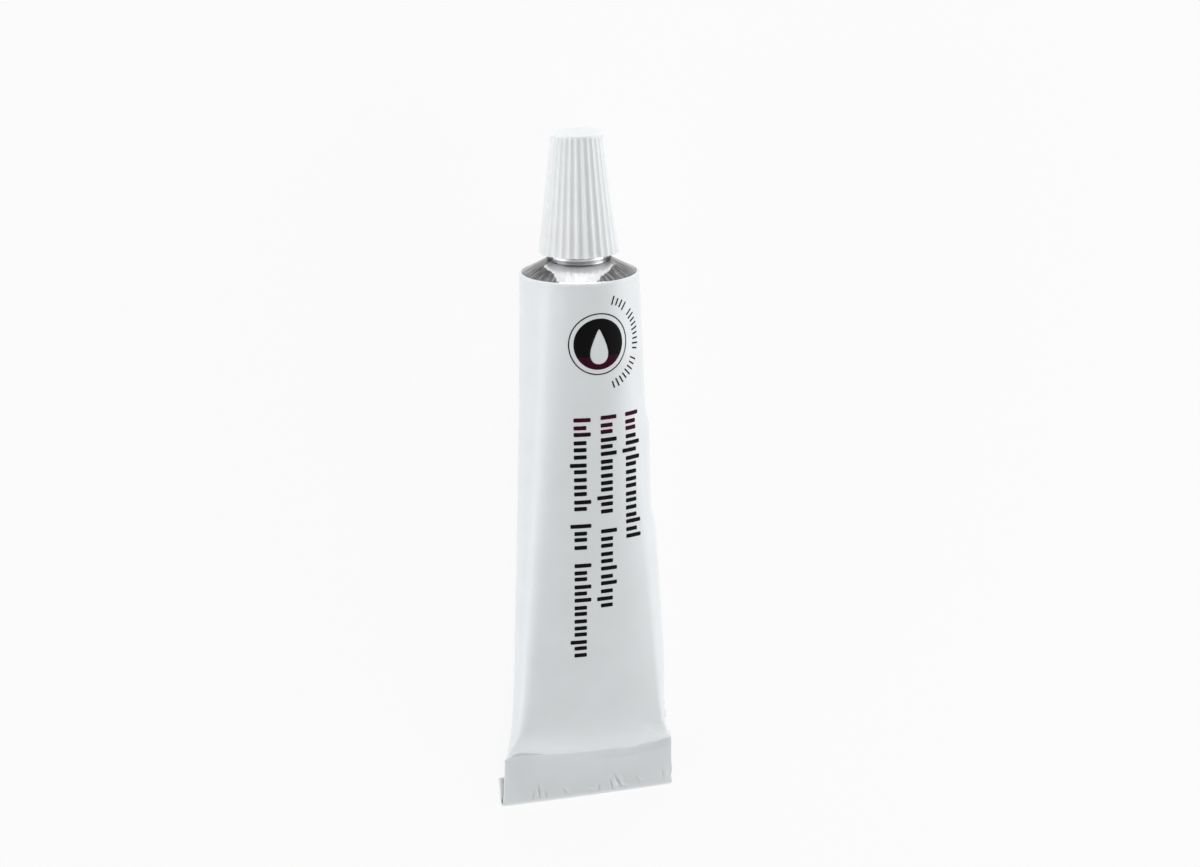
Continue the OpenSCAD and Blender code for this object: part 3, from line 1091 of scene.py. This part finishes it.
class TUBE_OT_studio(bpy.types.Operator):
    """Lay the pale floor, hang the soft lamps and set the camera"""

    bl_idname = "tube.studio"
    bl_label = "Studio"

    def execute(self, context):
        scene = context.scene
        sizes = scene.tube_sizes
        studio = scene.studio_sizes
        mesh = bmesh.new()
        bmesh.ops.create_grid(mesh, x_segments=4, y_segments=4, size=3.0)
        data = bpy.data.meshes.new("floor")
        mesh.to_mesh(data)
        mesh.free()
        floor = bpy.data.objects.new("floor", data)
        floor.location.z = cad_low.z
        scene.collection.objects.link(floor)
        paper = bpy.data.materials.new("floor_paper")
        paper.use_nodes = True
        tree = paper.node_tree
        tree.nodes.clear()
        out = tree.nodes.new("ShaderNodeOutputMaterial")
        matt = tree.nodes.new("ShaderNodeBsdfDiffuse")
        matt.inputs["Color"].default_value = opaque(studio.floor_colour)
        white = tree.nodes.new("ShaderNodeEmission")
        white.inputs["Color"].default_value = (1.0, 1.0, 1.0, 1.0)
        share = tree.nodes.new("ShaderNodeMath")
        share.operation = "MULTIPLY"
        share.inputs[1].default_value = 0.9
        tree.links.new(seen_directly(tree), share.inputs[0])
        mix_to_output(tree, share.outputs[0], matt.outputs[0], white.outputs[0], out)
        data.materials.append(paper)

        middle = (0.0, 0.0, 0.008)
        side = studio.side_light
        end = studio.end_light
        add_lamp("lamp_left", (-0.40, -0.10, 0.04), middle, 0.50, 0.12, side * 1.3)
        add_lamp("lamp_right", (0.38, -0.10, 0.12), middle, 0.50, 0.24, side * 1.1)
        add_lamp("lamp_above", (0.10, -0.05, 0.45), middle, 0.40, 0.40, side * 0.41)
        add_lamp("lamp_head", (0.0, 0.46, 0.12), middle, 0.50, 0.20, end * 1.45)
        add_lamp("lamp_foot", (0.0, -0.45, 0.16), middle, 0.50, 0.24, end * 0.38)

        world = bpy.data.worlds.new("surroundings")
        world.use_nodes = True
        scene.world = world
        tree = world.node_tree
        tree.nodes.clear()
        out = tree.nodes.new("ShaderNodeOutputWorld")
        plain = tree.nodes.new("ShaderNodeBackground")
        plain.inputs["Strength"].default_value = studio.sky
        white = tree.nodes.new("ShaderNodeBackground")
        white.inputs["Color"].default_value = (1.0, 1.0, 1.0, 1.0)
        white.inputs["Strength"].default_value = 1.0
        mix_to_output(tree, seen_directly(tree), plain.outputs[0], white.outputs[0], out)

        azimuth = studio.camera_azimuth
        elevation = studio.camera_elevation
        back = Vector((
            math.sin(azimuth) * math.cos(elevation),
            -math.cos(azimuth) * math.cos(elevation),
            math.sin(elevation)))
        right = (-back).cross(Vector((0, 0, 1))).normalized()
        up = right.cross(-back)
        roll = studio.camera_roll
        right_rolled = right * math.cos(roll) + up * math.sin(roll)
        up_rolled = up * math.cos(roll) - right * math.sin(roll)
        target = Vector((
            studio.target_across * math.cos(azimuth),
            studio.target_across * math.sin(azimuth),
            studio.target_along))
        spot = target + back * studio.camera_distance
        turned = Matrix((right_rolled, up_rolled, back)).transposed().to_4x4()
        data = bpy.data.cameras.new("camera")
        data.lens = studio.lens
        data.sensor_width = 36.0
        data.clip_start = 0.01
        data.clip_end = 20.0
        camera = bpy.data.objects.new("camera", data)
        scene.collection.objects.link(camera)
        camera.matrix_world = place_of_tube(sizes) @ Matrix.Translation(spot) @ turned
        scene.camera = camera
        scene.view_settings.view_transform = "Standard"
        return {"FINISHED"}


STEPS = (TUBE_OT_skin, TUBE_OT_shoulder, TUBE_OT_cap, TUBE_OT_print, TUBE_OT_grease, TUBE_OT_studio)


class TUBE_PT_panel(bpy.types.Panel):
    """Lists the pieces in the sidebar"""

    bl_label = "Grease tube"
    bl_idname = "TUBE_PT_panel"
    bl_space_type = "VIEW_3D"
    bl_region_type = "UI"
    bl_category = "Tube"

    def draw(self, context):
        for step in STEPS:
            self.layout.operator(step.bl_idname)
        for group in ("tube_sizes", "cap_sizes", "studio_sizes"):
            box = self.layout.box()
            values = getattr(context.scene, group)
            for key in values.bl_rna.properties.keys():
                if key not in ("rna_type", "name"):
                    box.prop(values, key)


CLASSES = (TubeSizes, CapSizes, StudioSizes, *STEPS, TUBE_PT_panel)


def register():
    for each in CLASSES:
        bpy.utils.register_class(each)
    bpy.types.Scene.tube_sizes = PointerProperty(type=TubeSizes)
    bpy.types.Scene.cap_sizes = PointerProperty(type=CapSizes)
    bpy.types.Scene.studio_sizes = PointerProperty(type=StudioSizes)


def unregister():
    del bpy.types.Scene.studio_sizes
    del bpy.types.Scene.cap_sizes
    del bpy.types.Scene.tube_sizes
    for each in reversed(CLASSES):
        bpy.utils.unregister_class(each)


def main():
    register()
    bpy.ops.tube.skin()
    bpy.ops.tube.shoulder()
    bpy.ops.tube.cap()
    bpy.ops.tube.print()
    bpy.ops.tube.grease()
    bpy.ops.tube.studio()


if __name__ == "__main__":
    main()
